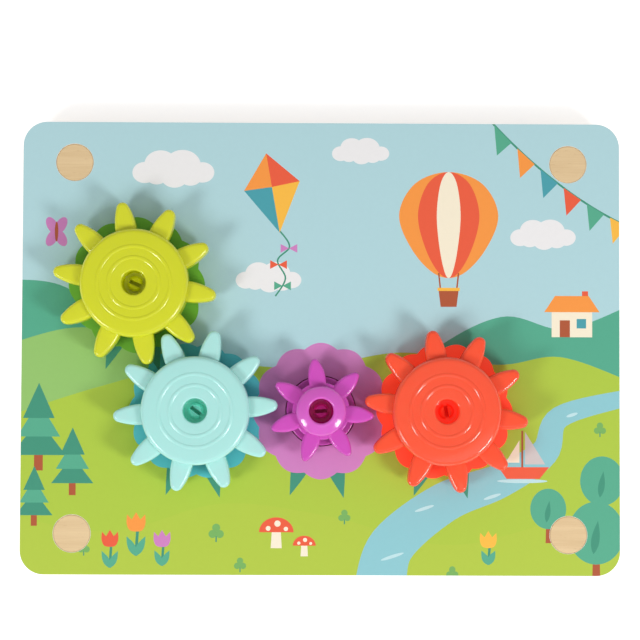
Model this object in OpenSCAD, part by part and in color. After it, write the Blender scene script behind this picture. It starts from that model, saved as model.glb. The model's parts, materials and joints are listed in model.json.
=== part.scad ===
// Wooden board with four meshing plastic petal gears.
// The board lies flat: +X to the right, +Y to the back, +Z up, origin under the middle of the board.
// Heights inside a gear or an axle are measured from the top of the printed sheet.

/* [Board] */
// Width of the board, left to right
board_w = 300; // [290:1:340]
// Depth of the board, front to back
board_d = 227; // [224:1:260]
// Thickness of the plywood
board_t = 6; // [4:0.5:10]
// Radius of the board's corners
corner_r = 12; // [5:1:20]
// Thickness of the printed sheet on the board
sheet_t = 0.5; // [0.3:0.1:1]

/* [Feet] */
// Height of a foot below the board
foot_h = 12; // [8:1:20]
// Radius of a foot
foot_r = 12.5; // [11:0.5:16]
// Radius of the tenon that goes up through the board
tenon_r = 9.25; // [6:0.25:10]
// Distance of a foot's axis from the board's left or right edge
foot_inset_x = 25.9; // [20:0.1:30]
// Distance of a foot's axis from the board's front or back edge
foot_inset_y = 20.5; // [18:0.1:24]
// Gap that shows in the sheet around a tenon
tenon_gap = 0.35; // [0.2:0.05:0.6]

/* [Gear train] */
// Height of the lower row of axles, from the middle of the board
row_y = -31.5; // [-36:0.5:-27]
// Distance from a large gear's axle to the small gear's axle
large_to_small = 62; // [61:0.25:64]
// Green axle, to the left of the teal one
green_dx = 30.5; // [29:0.5:32]
// Green axle, behind the teal one
green_dy = 62.8; // [62.5:0.1:65]
// Angle of each gear's first tooth: green, teal, purple, red
phases = [27.5, 4.1, -5.5, 28.5]; // [-90:0.1:90]
// Angle of each snap pin's slot: green, teal, purple, red
slot_angles = [-24, -37.5, 5, -80]; // [-90:0.5:90]

/* [Large gear] */
// Number of teeth
large_teeth = 10; // [8:2:12]
// Radius of the hub
large_hub_r = 26.8; // [26:0.1:27]
// Half of a tooth's greatest width
large_tooth_half_w = 5.2; // [4.8:0.1:5.3]
// Size of the 5-12-13 triangle that sets a tooth's reach and the curve of its flanks
large_petal_size = 2.15; // [1.9:0.05:2.2]
// Radii of the two raised rings
ring_radii = [12.5, 18]; // [11:0.1:19]
// Radius of a raised ring's own round section
ring_section_r = 2; // [2:0.1:3]
// Depth of a ring section's centre below the top of the hub
ring_sink = 1.6; // [1.5:0.1:1.8]
// Fall of the top from the outer ring to the hub's edge
crown_fall = 0.4; // [0:0.1:1.5]
// Rounding of the hub's top edge
large_edge_r = 2; // [1:0.1:2.2]

/* [Small gear] */
// Number of teeth
small_teeth = 7; // [6:1:8]
// Height of the domed top above the large gears' tops
small_rise = 1; // [0:0.5:2]
// Radius of the collar that carries the teeth
collar_r = 14.15; // [13.6:0.05:15]
// Fall from the teeth's tops to the collar's
collar_step = 0.5; // [0.3:0.1:1]
// Half of a tooth's greatest width
small_tooth_half_w = 4.3; // [4:0.1:4.6]
// Size of the 28-45-53 triangle that sets a tooth's reach and the curve of its flanks
small_petal_size = 0.3; // [0.28:0.01:0.31]
// Radius at which a tooth is widest
small_root_r = 15.8; // [15:0.1:16.5]

/* [All gears] */
// Height of the top of a hub
hub_top = 21; // [20:0.5:24]
// Height of the bottom of a hub's skirt
skirt_z = 4.6; // [4:0.1:5.5]
// Height of the underside of the teeth
tooth_z = 6; // [5.5:0.5:8]
// Height of a tooth, bottom to top
tooth_h = 9; // [7:0.5:10]
// Bevel all round a tooth's top, in from the side and down from the top
tooth_bevel = 1.4; // [0.8:0.1:1.6]
// Wall of the moulding
wall = 2; // [1.6:0.1:2.4]
// Radius of the well in the middle of a hub
well_r = 6; // [5:0.1:6.5]
// Height of the floor of the well
well_floor = 9.8; // [9:0.1:11]
// Rounding of a large gear's well rim
rim_r = 0.9; // [0.5:0.1:1.2]
// Thickness of a stiffening rib under the hub
rib_t = 1.6; // [1.2:0.1:2]

/* [Axles] */
// Radius of the snap pin's shank
pin_r = 2.95; // [2.5:0.05:3.2]
// Gap between the shank and the gear's bore
running_gap = 0.05; // [0.02:0.01:0.1]
// Radius of the snap pin's head
pin_head_r = 3.8; // [3.5:0.05:4]
// Height of the snap pin's head
pin_head_h = 2.4; // [2:0.1:3]
// How far the head's lead-in cone narrows towards the top
pin_lead = 1; // [0.5:0.1:1.2]
// Width of the slot that splits the pin
slot_w = 1.9; // [1:0.1:2]
// Radius of the boss that stands in its seat in the board
boss_r = 17.2; // [15:0.1:18]
// Height of the boss above the printed sheet
boss_t = 3; // [2:0.1:3.2]
// Rounding of the boss's top edge
boss_edge_r = 0.8; // [0.5:0.1:1.5]
// Gap around the boss in its seat
seat_gap = 0.8; // [0.3:0.1:1.2]
// Depth of the seat in the plywood
seat_depth = 1; // [0.5:0.1:2]
// Radius of the bearing pad on top of the boss
pad_r = 6.5; // [6:0.1:8]
// Height of the bearing pad's face
pad_z = 3.3; // [3.2:0.05:3.6]
// Radius of the screw's shank
screw_r = 1.25; // [1:0.05:1.5]
// Radius of the screw's head
screw_head_r = 3; // [2.5:0.1:3.5]
// Radius of the washer under the board
washer_r = 6; // [5:0.1:8]
// Thickness of the washer
washer_t = 1; // [0.8:0.1:1.5]

/* [Hidden] */

$fn = 96;
eps = 0.01;
face_z = foot_h + board_t + sheet_t;
foot_x = board_w / 2 - foot_inset_x;
foot_y = board_d / 2 - foot_inset_y;

// Axles in the order green, teal, purple, red
axles = [
    [-large_to_small - green_dx, row_y + green_dy],
    [-large_to_small, row_y],
    [0, row_y],
    [large_to_small, row_y]
];

// Seats, bores, bearings and wells
seat_r = boss_r + seat_gap;
seat_z = -sheet_t - seat_depth;
bore_r = pin_r + running_gap;
bearing_r = bore_r + wall;
tube_r = well_r + wall;
rib_root = wall / 4;
teeth_per_rib = 2;
small_ribs = 3;

// Teeth. Whole-number triangles keep the points where two arcs meet exact.
large_petal = large_petal_size * [5, 12];
small_petal = small_petal_size * [28, 45];

// Domed top of the small gear: a 7-24-25 triangle places the round of the well's rim, and a 36-77-85
// one the round of the outer edge, both out and up from the centre of the dome
dome_rim = [7, 24];
dome_edge = 0.28 * [36, 77];
dome_rim_r = dome_rim.x - well_r;
dome_r = norm(dome_rim) + dome_rim_r;
dome_edge_r = dome_r - norm(dome_edge);
small_hub_r = dome_edge.x + dome_edge_r;
small_top = hub_top + small_rise;
dome_z = small_top - dome_rim.y - dome_rim_r;
dome_fall = 1.5;
collar_z = tooth_z + tooth_h - collar_step;
collar_edge_r = 0.6;

// Snap pins and screws
snap_gap = 0.3;
barb_z = well_floor + snap_gap;
pin_chamfer = 0.3;
pin_land = 1.2;
slot_bottom = 4;
screw_depth = 8;
screw_tip = 1;
screw_head_h = 2;
screw_head_edge_r = 1;
screw_recess = [3.2, 0.7, 1.1];
washer_gap = 0.3;

// Feet
foot_edge_r = 1.5;

wood = "#e3c89e";
birch = "#ecdcc0";
sheet_paper = "#b1d6dc";
green = "#cccf2f";
teal = "#aae4de";
purple = "#d75fcd";
red = "#fd5f41";
steel = "#b9bcc0";

// ---- helpers ----

// Disc with a rounded top edge and a smaller round at the bottom
module rounded_disc(r, h, top_r, bottom_r) {
    rotate_extrude() {
        square([r - top_r, h]);
        translate([0, bottom_r]) square([r, h - top_r - bottom_r]);
        square([r - bottom_r, h - top_r]);
        translate([r - top_r, h - top_r]) circle(top_r);
        translate([r - bottom_r, bottom_r]) circle(bottom_r);
    }
}

// Disc whose top edge is bevelled in three straight steps, so that its faces stay cones
module bevelled_disc(r) {
    steps = tooth_bevel / 7 * [[0, 0], [1, 3.5], [3.5, 6], [7, 7]];
    rotate_extrude() polygon([
        [0, 0], [r, 0],
        for (step = steps) [r - step.x, tooth_h - tooth_bevel + step.y],
        [0, tooth_h]
    ]);
}

module rounded_rect(w, d, r) {
    square([w - 2 * r, d], center = true);
    square([w, d - 2 * r], center = true);
    for (x = [-1, 1], y = [-1, 1])
        translate([x * (w / 2 - r), y * (d / 2 - r)]) circle(r);
}

module at_feet() {
    for (x = [-1, 1], y = [-1, 1]) translate([x * foot_x, y * foot_y]) children();
}

module at_axles() {
    for (p = axles) translate(p) children();
}

// ---- board ----

// Plate with the board's outline, a hole for each tenon and one for each axle
module panel(t, tenon_hole_r, axle_hole_r) {
    linear_extrude(t) difference() {
        rounded_rect(board_w, board_d, corner_r);
        at_feet() circle(tenon_hole_r);
        at_axles() circle(axle_hole_r);
    }
}

// Plywood with a shallow round seat for each boss
module board() {
    color(wood) translate([0, 0, foot_h]) difference() {
        panel(board_t, tenon_r, pin_r);
        translate([0, 0, board_t - seat_depth]) at_axles() cylinder(r = seat_r, h = 2 * seat_depth);
    }
}

module printed_sheet() {
    color(sheet_paper) translate([0, 0, foot_h + board_t])
        panel(sheet_t, tenon_r + tenon_gap, seat_r);
}

// ---- feet ----

// Turned foot whose tenon ends flush with the printed face
module foot(x, y) {
    color(birch) translate([x * foot_x, y * foot_y, 0]) {
        rounded_disc(foot_r, foot_h, tenon_gap, foot_edge_r);
        translate([0, 0, foot_h - eps]) cylinder(r = tenon_r, h = board_t + sheet_t - tenon_gap + eps);
        translate([0, 0, face_z - tenon_gap])
            cylinder(r1 = tenon_r, r2 = tenon_r - tenon_gap, h = tenon_gap);
    }
}

module front_left_foot() { foot(-1, -1); }
module front_right_foot() { foot(1, -1); }
module back_left_foot() { foot(-1, 1); }
module back_right_foot() { foot(1, 1); }

// ---- axles ----

// Round base that stands in its seat in the board, with a raised pad that the gear runs on
module boss(i, shade) {
    edge = [boss_r - boss_edge_r, boss_t - boss_edge_r];
    color(shade) translate([axles[i].x, axles[i].y, face_z]) rotate_extrude() difference() {
        union() {
            translate([0, seat_z]) square([boss_r, edge.y - seat_z]);
            translate([0, seat_z]) square([edge.x, boss_t - seat_z]);
            translate(edge) circle(boss_edge_r);
            square([pad_r, pad_z]);
        }
        translate([-eps, 2 * seat_z]) square([pin_r + eps, pad_z - 3 * seat_z]);
    }
}

module green_boss() { boss(0, green); }
module teal_boss() { boss(1, teal); }
module purple_boss() { boss(2, purple); }
module red_boss() { boss(3, red); }

// Barb with a flat underside that holds the gear, and a cone that leads it in through the bore
module pin_head() {
    rotate_extrude() polygon([
        [0, 0], [pin_head_r - pin_chamfer, 0], [pin_head_r, pin_chamfer], [pin_head_r, pin_land],
        [pin_head_r - pin_lead, pin_head_h], [0, pin_head_h]
    ]);
}

// Split pin: it goes through the board, and its barbed head snaps over the floor of the well
module pin(i, shade) {
    color(shade) translate([axles[i].x, axles[i].y, face_z]) rotate([0, 0, slot_angles[i]])
    difference() {
        union() {
            translate([0, 0, -board_t - sheet_t]) cylinder(r = pin_r, h = board_t + sheet_t + barb_z);
            translate([0, 0, barb_z]) pin_head();
        }
        translate([-pin_head_r - 1, -slot_w / 2, slot_bottom])
            cube([2 * pin_head_r + 2, slot_w, barb_z + pin_head_h]);
        translate([0, 0, -board_t - sheet_t - eps]) cylinder(r = screw_r, h = screw_depth + eps);
    }
}

module green_pin() { pin(0, green); }
module teal_pin() { pin(1, teal); }
module purple_pin() { pin(2, purple); }
module red_pin() { pin(3, red); }

module screw() {
    head_z = -board_t - sheet_t - washer_t - screw_head_h;
    difference() {
        union() {
            translate([0, 0, head_z + screw_head_h]) mirror([0, 0, 1])
                rounded_disc(screw_head_r, screw_head_h, screw_head_edge_r, eps * 10);
            translate([0, 0, head_z + screw_head_h - eps])
                cylinder(r = screw_r, h = washer_t + screw_depth - screw_tip);
        }
        for (a = [0, 90]) rotate([0, 0, a])
            translate([-screw_recess.x / 2, -screw_recess.y / 2, head_z - eps])
                cube(screw_recess);
    }
}

module axle_screws() {
    color(steel) translate([0, 0, face_z]) at_axles() screw();
}

module axle_washers() {
    color(steel) translate([0, 0, foot_h - washer_t]) at_axles() difference() {
        cylinder(r = washer_r, h = washer_t);
        translate([0, 0, -eps]) cylinder(r = screw_r + washer_gap, h = washer_t + 2 * eps);
    }
}

// ---- gears ----

// Petal tooth along +X from its widest place. Two large discs overlap as a lens, and a small disc
// that is tangent to both makes the nose. shape is the nose's centre and a flank centre's reach.
module petal(shape, half_w) {
    nose_x = shape[0];
    flank_y = shape[1];
    flank_r = flank_y + half_w;
    nose_r = flank_r - norm(shape);
    difference() {
        intersection() {
            translate([0, flank_y, 0]) bevelled_disc(flank_r);
            translate([0, -flank_y, 0]) bevelled_disc(flank_r);
            translate([-half_w, -half_w, 0]) cube([nose_x + 2 * half_w, 2 * half_w, tooth_h]);
        }
        ahead_of_nose(shape);
    }
    intersection() {
        translate([nose_x, 0, 0]) bevelled_disc(nose_r);
        ahead_of_nose(shape);
    }
}

// Wedge between the two lines from the nose's centre through its tangent points
module ahead_of_nose(shape) {
    translate([shape[0], 0, -1]) linear_extrude(tooth_h + 2)
        polygon([[0, 0], shape, [shape[0], -shape[1]]]);
}

module petals(count, root_r, shape, half_w, inner_r) {
    translate([0, 0, tooth_z]) difference() {
        for (k = [0 : count - 1]) rotate([0, 0, k * 360 / count])
            translate([root_r, 0, 0]) petal(shape, half_w);
        translate([0, 0, -1]) cylinder(r = inner_r, h = tooth_h + 2);
    }
}

// Half section of what every hub has: the well, its floor, the bore, and the corner that is cut away
// to round the rim. The round has its centre at c, and it meets the top square to the direction up.
module well_section(c, r, up) {
    reach = 2 * r;
    square([bore_r, c.y]);
    translate([0, well_floor]) square([well_r, c.y]);
    difference() {
        polygon([c, c - [r + eps, 0], c + [-r - eps, reach], c + reach * up]);
        translate(c) circle(r);
    }
}

// Half section of the hollow under a hub, between its bearing tube and its outer wall
module hollow_section(inner_wall_r, ceiling) {
    translate([tube_r, 0]) square([inner_wall_r - tube_r, ceiling]);
    translate([bearing_r, 0]) square([inner_wall_r - bearing_r, well_floor - wall]);
}

// Upright webs from the well's tube to the outer wall, ending level with the floor of the well
module ribs(count, outer_r, ceiling) {
    for (k = [0 : count - 1]) rotate([0, 0, (k + 0.5) * 360 / count])
        translate([tube_r - rib_root, -rib_t / 2, well_floor])
            cube([outer_r - tube_r + 2 * rib_root, rib_t, ceiling - well_floor + rib_root]);
}

module large_hub() {
    edge_top = hub_top - crown_fall;
    ceiling = edge_top - wall;
    rotate_extrude() difference() {
        union() {
            polygon([
                [0, skirt_z], [large_hub_r, skirt_z], [large_hub_r, edge_top - large_edge_r],
                [large_hub_r - large_edge_r, edge_top], [ring_radii[1], hub_top], [0, hub_top]
            ]);
            translate([large_hub_r - large_edge_r, edge_top - large_edge_r]) circle(large_edge_r);
            for (r = ring_radii) translate([r, hub_top - ring_sink]) circle(ring_section_r);
            translate([0, pad_z]) square([bearing_r, well_floor - pad_z]);
        }
        well_section([well_r + rim_r, hub_top - rim_r], rim_r, [0, 1]);
        hollow_section(large_hub_r - wall, ceiling);
    }
    ribs(large_teeth / teeth_per_rib, large_hub_r - wall, ceiling);
}

// Half section of the domed top, from the height of its edge's round up. Both arcs end on the line
// through their centres, where they have the same tangent.
module dome_section() {
    past = 1.25 * dome_edge;
    intersection() {
        circle(dome_r);
        polygon([[0, dome_edge.y], dome_edge, past, [0, past.y]]);
    }
    intersection() {
        translate(dome_edge) circle(dome_edge_r);
        polygon([dome_edge, [small_hub_r + 1, dome_edge.y], [small_hub_r + 1, past.y], past]);
    }
}

module small_hub() {
    ceiling = small_top - dome_fall - wall;
    rotate_extrude() difference() {
        union() {
            translate([0, dome_z]) dome_section();
            translate([0, skirt_z]) square([small_hub_r, dome_z + dome_edge.y - skirt_z]);
            translate([0, skirt_z]) square([collar_r, collar_z - collar_edge_r - skirt_z]);
            translate([0, skirt_z]) square([collar_r - collar_edge_r, collar_z - skirt_z]);
            translate([collar_r - collar_edge_r, collar_z - collar_edge_r]) circle(collar_edge_r);
            translate([0, pad_z]) square([bearing_r, well_floor - pad_z]);
        }
        well_section(dome_rim + [0, dome_z], dome_rim_r, dome_rim / norm(dome_rim));
        hollow_section(small_hub_r - wall, ceiling);
    }
    ribs(small_ribs, small_hub_r - wall, ceiling);
}

module large_gear(i, shade) {
    color(shade) translate([axles[i].x, axles[i].y, face_z]) rotate([0, 0, phases[i]]) {
        large_hub();
        petals(large_teeth, large_hub_r, large_petal, large_tooth_half_w, large_hub_r - wall / 2);
    }
}

module small_gear(i, shade) {
    color(shade) translate([axles[i].x, axles[i].y, face_z]) rotate([0, 0, phases[i]]) {
        small_hub();
        petals(small_teeth, small_root_r, small_petal, small_tooth_half_w, small_hub_r - wall / 2);
    }
}

module green_gear() { large_gear(0, green); }
module teal_gear() { large_gear(1, teal); }
module purple_gear() { small_gear(2, purple); }
module red_gear() { large_gear(3, red); }

board();
printed_sheet();
front_left_foot();
front_right_foot();
back_left_foot();
back_right_foot();
green_boss();
teal_boss();
purple_boss();
red_boss();
green_pin();
teal_pin();
purple_pin();
red_pin();
green_gear();
teal_gear();
purple_gear();
red_gear();
axle_screws();
axle_washers();
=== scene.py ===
# %% [markdown]
# # A wooden board with four petal gears
#
# The real object is a plywood board with a printed face, a round wooden foot in each corner and
# four glossy plastic gears that turn on split pins. Every shape already exists as a fixed CAD frame,
# so this lesson dresses that frame. It could be modelled again from nothing, but then the gears
# would have to be lined up with their axles by eye. Loading the frame keeps every piece in place.

# %% Load the frame
import json
import math

import bmesh
import bpy
from mathutils import Matrix, Vector
from mathutils.geometry import delaunay_2d_cdt


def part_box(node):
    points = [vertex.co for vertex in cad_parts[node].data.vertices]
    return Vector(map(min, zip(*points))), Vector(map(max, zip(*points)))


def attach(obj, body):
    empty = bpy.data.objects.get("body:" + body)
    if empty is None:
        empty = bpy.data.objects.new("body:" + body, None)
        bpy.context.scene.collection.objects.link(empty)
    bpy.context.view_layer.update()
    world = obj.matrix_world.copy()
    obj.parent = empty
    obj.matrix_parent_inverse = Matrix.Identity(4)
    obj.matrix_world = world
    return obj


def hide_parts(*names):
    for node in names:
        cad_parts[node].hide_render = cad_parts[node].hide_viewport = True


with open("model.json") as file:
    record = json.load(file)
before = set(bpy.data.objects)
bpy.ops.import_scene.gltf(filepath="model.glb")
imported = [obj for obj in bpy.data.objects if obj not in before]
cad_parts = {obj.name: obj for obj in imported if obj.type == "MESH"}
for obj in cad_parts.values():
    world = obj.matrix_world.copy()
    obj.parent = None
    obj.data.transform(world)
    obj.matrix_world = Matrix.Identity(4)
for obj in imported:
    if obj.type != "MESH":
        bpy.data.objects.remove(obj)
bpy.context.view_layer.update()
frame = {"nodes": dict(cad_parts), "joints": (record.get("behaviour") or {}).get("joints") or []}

NODES = frame["nodes"]

# %% [markdown]
# ## Measuring the frame
#
# The pieces made here must sit where the frame's own solids sit. Their places could be typed in, but
# a typed number goes wrong as soon as the frame changes. So the axles come from the joints, and the
# heights and the board's size from the boxes of the nodes.

# %% Places and heights from the frame
MM = 0.001
AXLES = {j["child"].split("_")[0]: Vector(j["pos_m"]) for j in frame["joints"]}
board_low, board_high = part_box("board")
sheet_low, sheet_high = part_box("printed_sheet")
FACE_Z = sheet_high[2]
BOARD_W = board_high[0] - board_low[0]
BOARD_D = board_high[1] - board_low[1]
print("axles in mm", {n: [round(1000 * v) for v in p] for n, p in AXLES.items()})

# %% [markdown]
# ## Helpers for node materials
#
# Every finish here is a small tree of nodes around one Principled shader. The trees could be wired
# with long lists of calls, but the same few steps come back each time: make a node, set its inputs,
# join it to the next. A small class with one method for each step keeps the recipes readable.

# %% Node helpers
def srgb(r, g, b):
    """Turns a paint chart's colour of 0 to 255 into the linear values that shaders use."""
    parts = [c / 255 for c in (r, g, b)]
    return tuple(c / 12.92 if c <= 0.04045 else ((c + 0.055) / 1.055) ** 2.4 for c in parts) + (1,)


def shade(colour, factor):
    """A linear colour made darker or lighter."""
    return tuple(min(1, c * factor) for c in colour[:3]) + (1,)


class Recipe:
    """A material's node tree, with its Principled shader ready."""

    def __init__(self, name):
        self.material = bpy.data.materials.new(name)
        self.material.use_nodes = True
        self.tree = self.material.node_tree
        self.shader = self.tree.nodes["Principled BSDF"]

    def node(self, kind, inputs=None, **settings):
        made = self.tree.nodes.new(kind)
        for key, value in settings.items():
            setattr(made, key, value)
        for key, value in (inputs or {}).items():
            if isinstance(value, bpy.types.NodeSocket):
                self.tree.links.new(value, made.inputs[key])
            else:
                made.inputs[key].default_value = value
        return made

    def place(self, scale=(1, 1, 1)):
        """Coordinates fixed to the object, in metres, stretched by scale."""
        here = self.node("ShaderNodeTexCoord").outputs["Object"]
        return self.node("ShaderNodeMapping", {"Vector": here, "Scale": scale}).outputs["Vector"]

    def split(self, vector):
        """The X, Y and Z outputs of a vector."""
        return self.node("ShaderNodeSeparateXYZ", {"Vector": vector}).outputs

    def noise(self, vector, scale, detail=3.0, roughness=0.5):
        inputs = {"Vector": vector, "Scale": scale, "Detail": detail, "Roughness": roughness}
        return self.node("ShaderNodeTexNoise", inputs).outputs["Fac"]

    def ramp(self, value, stops):
        """A colour that runs through stops of (position, colour)."""
        made = self.node("ShaderNodeValToRGB", {"Fac": value})
        elements = made.color_ramp.elements
        while len(elements) < len(stops):
            elements.new(0.5)
        for element, (at, colour) in zip(elements, stops):
            element.position = at
            element.color = colour
        return made.outputs["Color"]

    def math(self, how, a, b=0.0):
        return self.node("ShaderNodeMath", {0: a, 1: b}, operation=how).outputs["Value"]

    def mix(self, factor, a, b):
        return self.node("ShaderNodeMix", {"Factor": factor, 6: a, 7: b}, data_type="RGBA").outputs[2]

    def span(self, value, low, high, start=0.0, end=1.0):
        """Maps start to end onto low to high, and holds the ends."""
        inputs = {"Value": value, "From Min": start, "From Max": end, "To Min": low, "To Max": high}
        return self.node("ShaderNodeMapRange", inputs).outputs["Result"]

    def bump(self, height, depth, below=None):
        """A bumped normal, laid over another one where below is given."""
        inputs = {"Height": height, "Distance": depth, "Strength": 1.0}
        if below is not None:
            inputs["Normal"] = below
        return self.node("ShaderNodeBump", inputs).outputs["Normal"]

    def into(self, **sockets):
        """Sets or links inputs of the shader, with _ in place of a space in their names."""
        for name, value in sockets.items():
            socket = self.shader.inputs[name.replace("_", " ")]
            if isinstance(value, bpy.types.NodeSocket):
                self.tree.links.new(value, socket)
            else:
                socket.default_value = value
        return self.material


print("helpers ready")

# %% [markdown]
# ## Wood
#
# The board is birch plywood: pale faces with long faint grain, and an edge where dark and light plies
# alternate. A picture of wood would show seams round the corners, so the grain is noise stretched
# along the board, and the plies are bands of height that show only where the surface faces sideways.
# The floor of a seat, wood that faces up from below the top, is painted dark maroon. This is painted shade
# for the narrow gap round each boss, tinted by light off the purple plastic.

# %% Plywood and birch
FEET = [n for n in NODES if n.endswith("_foot")]
GLUE_LINES = 5
SEAT_BELOW = 0.3 * MM


def grain(recipe, along, across, light, dark):
    """Long streaks with finer fibres on top."""
    streaks = recipe.noise(recipe.place((along, across, across)), 1.0, 5, 0.6)
    fibres = recipe.noise(recipe.place((along * 3, across * 9, across * 9)), 1.0, 3, 0.6)
    broad, thin = recipe.math("MULTIPLY", streaks, 0.65), recipe.math("MULTIPLY", fibres, 0.35)
    return recipe.ramp(recipe.math("ADD", broad, thin), [(0.36, dark), (0.62, light)]), fibres


def plywood():
    """Pale faces, plies on the edges and painted maroon shade on the floors of the seats."""
    recipe = Recipe("plywood")
    face, fibres = grain(recipe, 7, 95, srgb(231, 207, 168), srgb(205, 173, 126))
    height = recipe.split(recipe.place())["Z"]
    ply = recipe.math("PINGPONG", recipe.span(height, 0.0, GLUE_LINES, board_low[2], board_high[2]), 1.0)
    glue, heart, sap = srgb(120, 84, 48), srgb(188, 148, 98), srgb(214, 180, 130)
    band = recipe.ramp(ply, [(0.40, sap), (0.47, glue), (0.53, heart)])
    end = recipe.noise(recipe.place((300, 300, 900)), 1.0, 4, 0.7)
    edge = recipe.mix(recipe.span(end, 0.0, 0.45), band, srgb(150, 112, 68))
    normal = recipe.node("ShaderNodeNewGeometry").outputs["Normal"]
    upright = recipe.split(normal)["Z"]
    flat = recipe.math("GREATER_THAN", recipe.math("ABSOLUTE", upright), 0.5)
    faces_up = recipe.math("GREATER_THAN", upright, 0.5)
    sunk = recipe.math("LESS_THAN", height, board_high[2] - SEAT_BELOW)
    tone = recipe.mix(flat, edge, face)
    # Painted shade: seat floors turn dark maroon for the shade in the gap round a boss.
    seat_shade_painted = recipe.mix(recipe.math("MULTIPLY", faces_up, sunk), tone, srgb(146, 66, 84))
    return recipe.into(
        Base_Color=seat_shade_painted,
        Roughness=recipe.span(fibres, 0.42, 0.6),
        Normal=recipe.bump(fibres, 0.08 * MM),
    )


def birch():
    """A turned foot: close fibres with fine dark pores."""
    recipe = Recipe("birch")
    face, fibres = grain(recipe, 14, 230, srgb(231, 202, 157), srgb(218, 187, 141))
    pores = recipe.noise(recipe.place((240, 1500, 1500)), 1.0, 2, 0.5)
    speck = recipe.ramp(pores, [(0.66, (0, 0, 0, 1)), (0.72, (1, 1, 1, 1))])
    return recipe.into(
        Base_Color=recipe.mix(recipe.math("MULTIPLY", speck, 0.25), face, srgb(176, 134, 88)),
        Roughness=recipe.span(fibres, 0.45, 0.62),
        Normal=recipe.bump(fibres, 0.05 * MM),
    )


def dress(material, *names):
    """Gives frame nodes a material, and leaves their shape alone."""
    for name in names:
        NODES[name].data.materials.clear()
        NODES[name].data.materials.append(material)


dress(plywood(), "board")
dress(birch(), *FEET)
print("wood on the board and", len(FEET), "feet")

# %% [markdown]
# ## Glossy moulded plastic
#
# The gears, their pins and their bosses are moulded in one bright colour each. The plastic is a
# little cloudy: light sinks in, picks up more of the colour at every bounce, and leaves the petals
# and the deep well a richer tone than the top. A renderer could find that by tracing hundreds of
# bounces inside each gear. Here a small subsurface weight softens the edges, and the rest of that
# light is painted. Height and the distance from the axle choose between three painted tones: a lit
# top, the petals and a painted shade deep in the well. The last of that light is painted as a faint
# glow in the slots of the pins, and in the red gear's well, because red passes the most. The gloss
# is broken by flow marks and fine rub marks, two noises in roughness and bump, over a haze of each
# colour's own. The pins sit deep in shade and shine less, and their colour is painted part of the
# way to that deep shade.

# %% Gear plastics
HUB_TOP = 21 * MM
# The petals' painted tone reaches up to the first height, and the lit top's painted tone starts at the
# second.
PETAL_TONE_Z, TOP_TONE_Z = FACE_Z + 16.5 * MM, FACE_Z + 19 * MM
# The painted shade of a well and the painted glow of a slot are full up to the first value and end at the
# second.
WELL_FULL_R, WELL_END_R = 6.2 * MM, 6.8 * MM
WELL_FULL_Z, WELL_END_Z = FACE_Z + HUB_TOP - 6 * MM, FACE_Z + HUB_TOP - 0.6 * MM
SLOT_FULL_Z, SLOT_END_Z = FACE_Z + 8 * MM, FACE_Z + 11 * MM


def in_the_well(recipe, axle):
    """Where a well's painted shade goes: 0 outside the well, rising to 1 towards its floor."""
    here = recipe.split(recipe.place())
    out_x = recipe.math("SUBTRACT", here["X"], axle.x)
    out_y = recipe.math("SUBTRACT", here["Y"], axle.y)
    square_x, square_y = recipe.math("MULTIPLY", out_x, out_x), recipe.math("MULTIPLY", out_y, out_y)
    radius = recipe.math("SQRT", recipe.math("ADD", square_x, square_y))
    inside = recipe.span(radius, 1.0, 0.0, WELL_FULL_R, WELL_END_R)
    depth = recipe.span(here["Z"], 1.0, 0.0, WELL_FULL_Z, WELL_END_Z)
    return recipe.math("MULTIPLY", inside, depth)


def plastic(name, top, petal, deep, haze, axle=None, glow=None, shine=0.5):
    """Painted tones: a lit top tone on the hub, a petal tone below it and a painted deep shade inside the
    well of a gear.
    """
    recipe = Recipe(name)
    flow = recipe.noise(recipe.place(), 55, 3, 0.55)
    speckle = recipe.noise(recipe.place(), 900, 2, 0.5)
    rub = recipe.noise(recipe.place((60, 900, 300)), 1.0, 4, 0.65)
    height = recipe.split(recipe.place())["Z"]
    tone = recipe.mix(recipe.span(height, 0.0, 1.0, PETAL_TONE_Z, TOP_TONE_Z), petal, top)
    tone = recipe.mix(recipe.span(flow, 0.0, 0.12), tone, deep)
    inside = recipe.span(height, 1.0, 0.0, SLOT_FULL_Z, SLOT_END_Z)
    if axle:
        inside = in_the_well(recipe, axle)
        # Painted shade: the deep tone fills the well.
        tone = recipe.mix(inside, tone, deep)
    # Painted light: a faint glow in the slot or the well, for light that bounces into the hollow.
    if glow:
        recipe.into(Emission_Color=recipe.mix(inside, (0, 0, 0, 1), glow), Emission_Strength=1.0)
    gloss = recipe.math("ADD", recipe.span(flow, haze, haze + 0.05), recipe.span(rub, 0.0, 0.03))
    fine = recipe.bump(speckle, 0.01 * MM)
    recipe.into(Subsurface_Weight=0.2, Subsurface_Radius=top[:3], Subsurface_Scale=2 * MM)
    recipe.into(IOR=1.55, Specular_IOR_Level=shine)
    return recipe.into(Base_Color=tone, Roughness=gloss, Normal=recipe.bump(flow, 0.05 * MM, below=fine))


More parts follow.
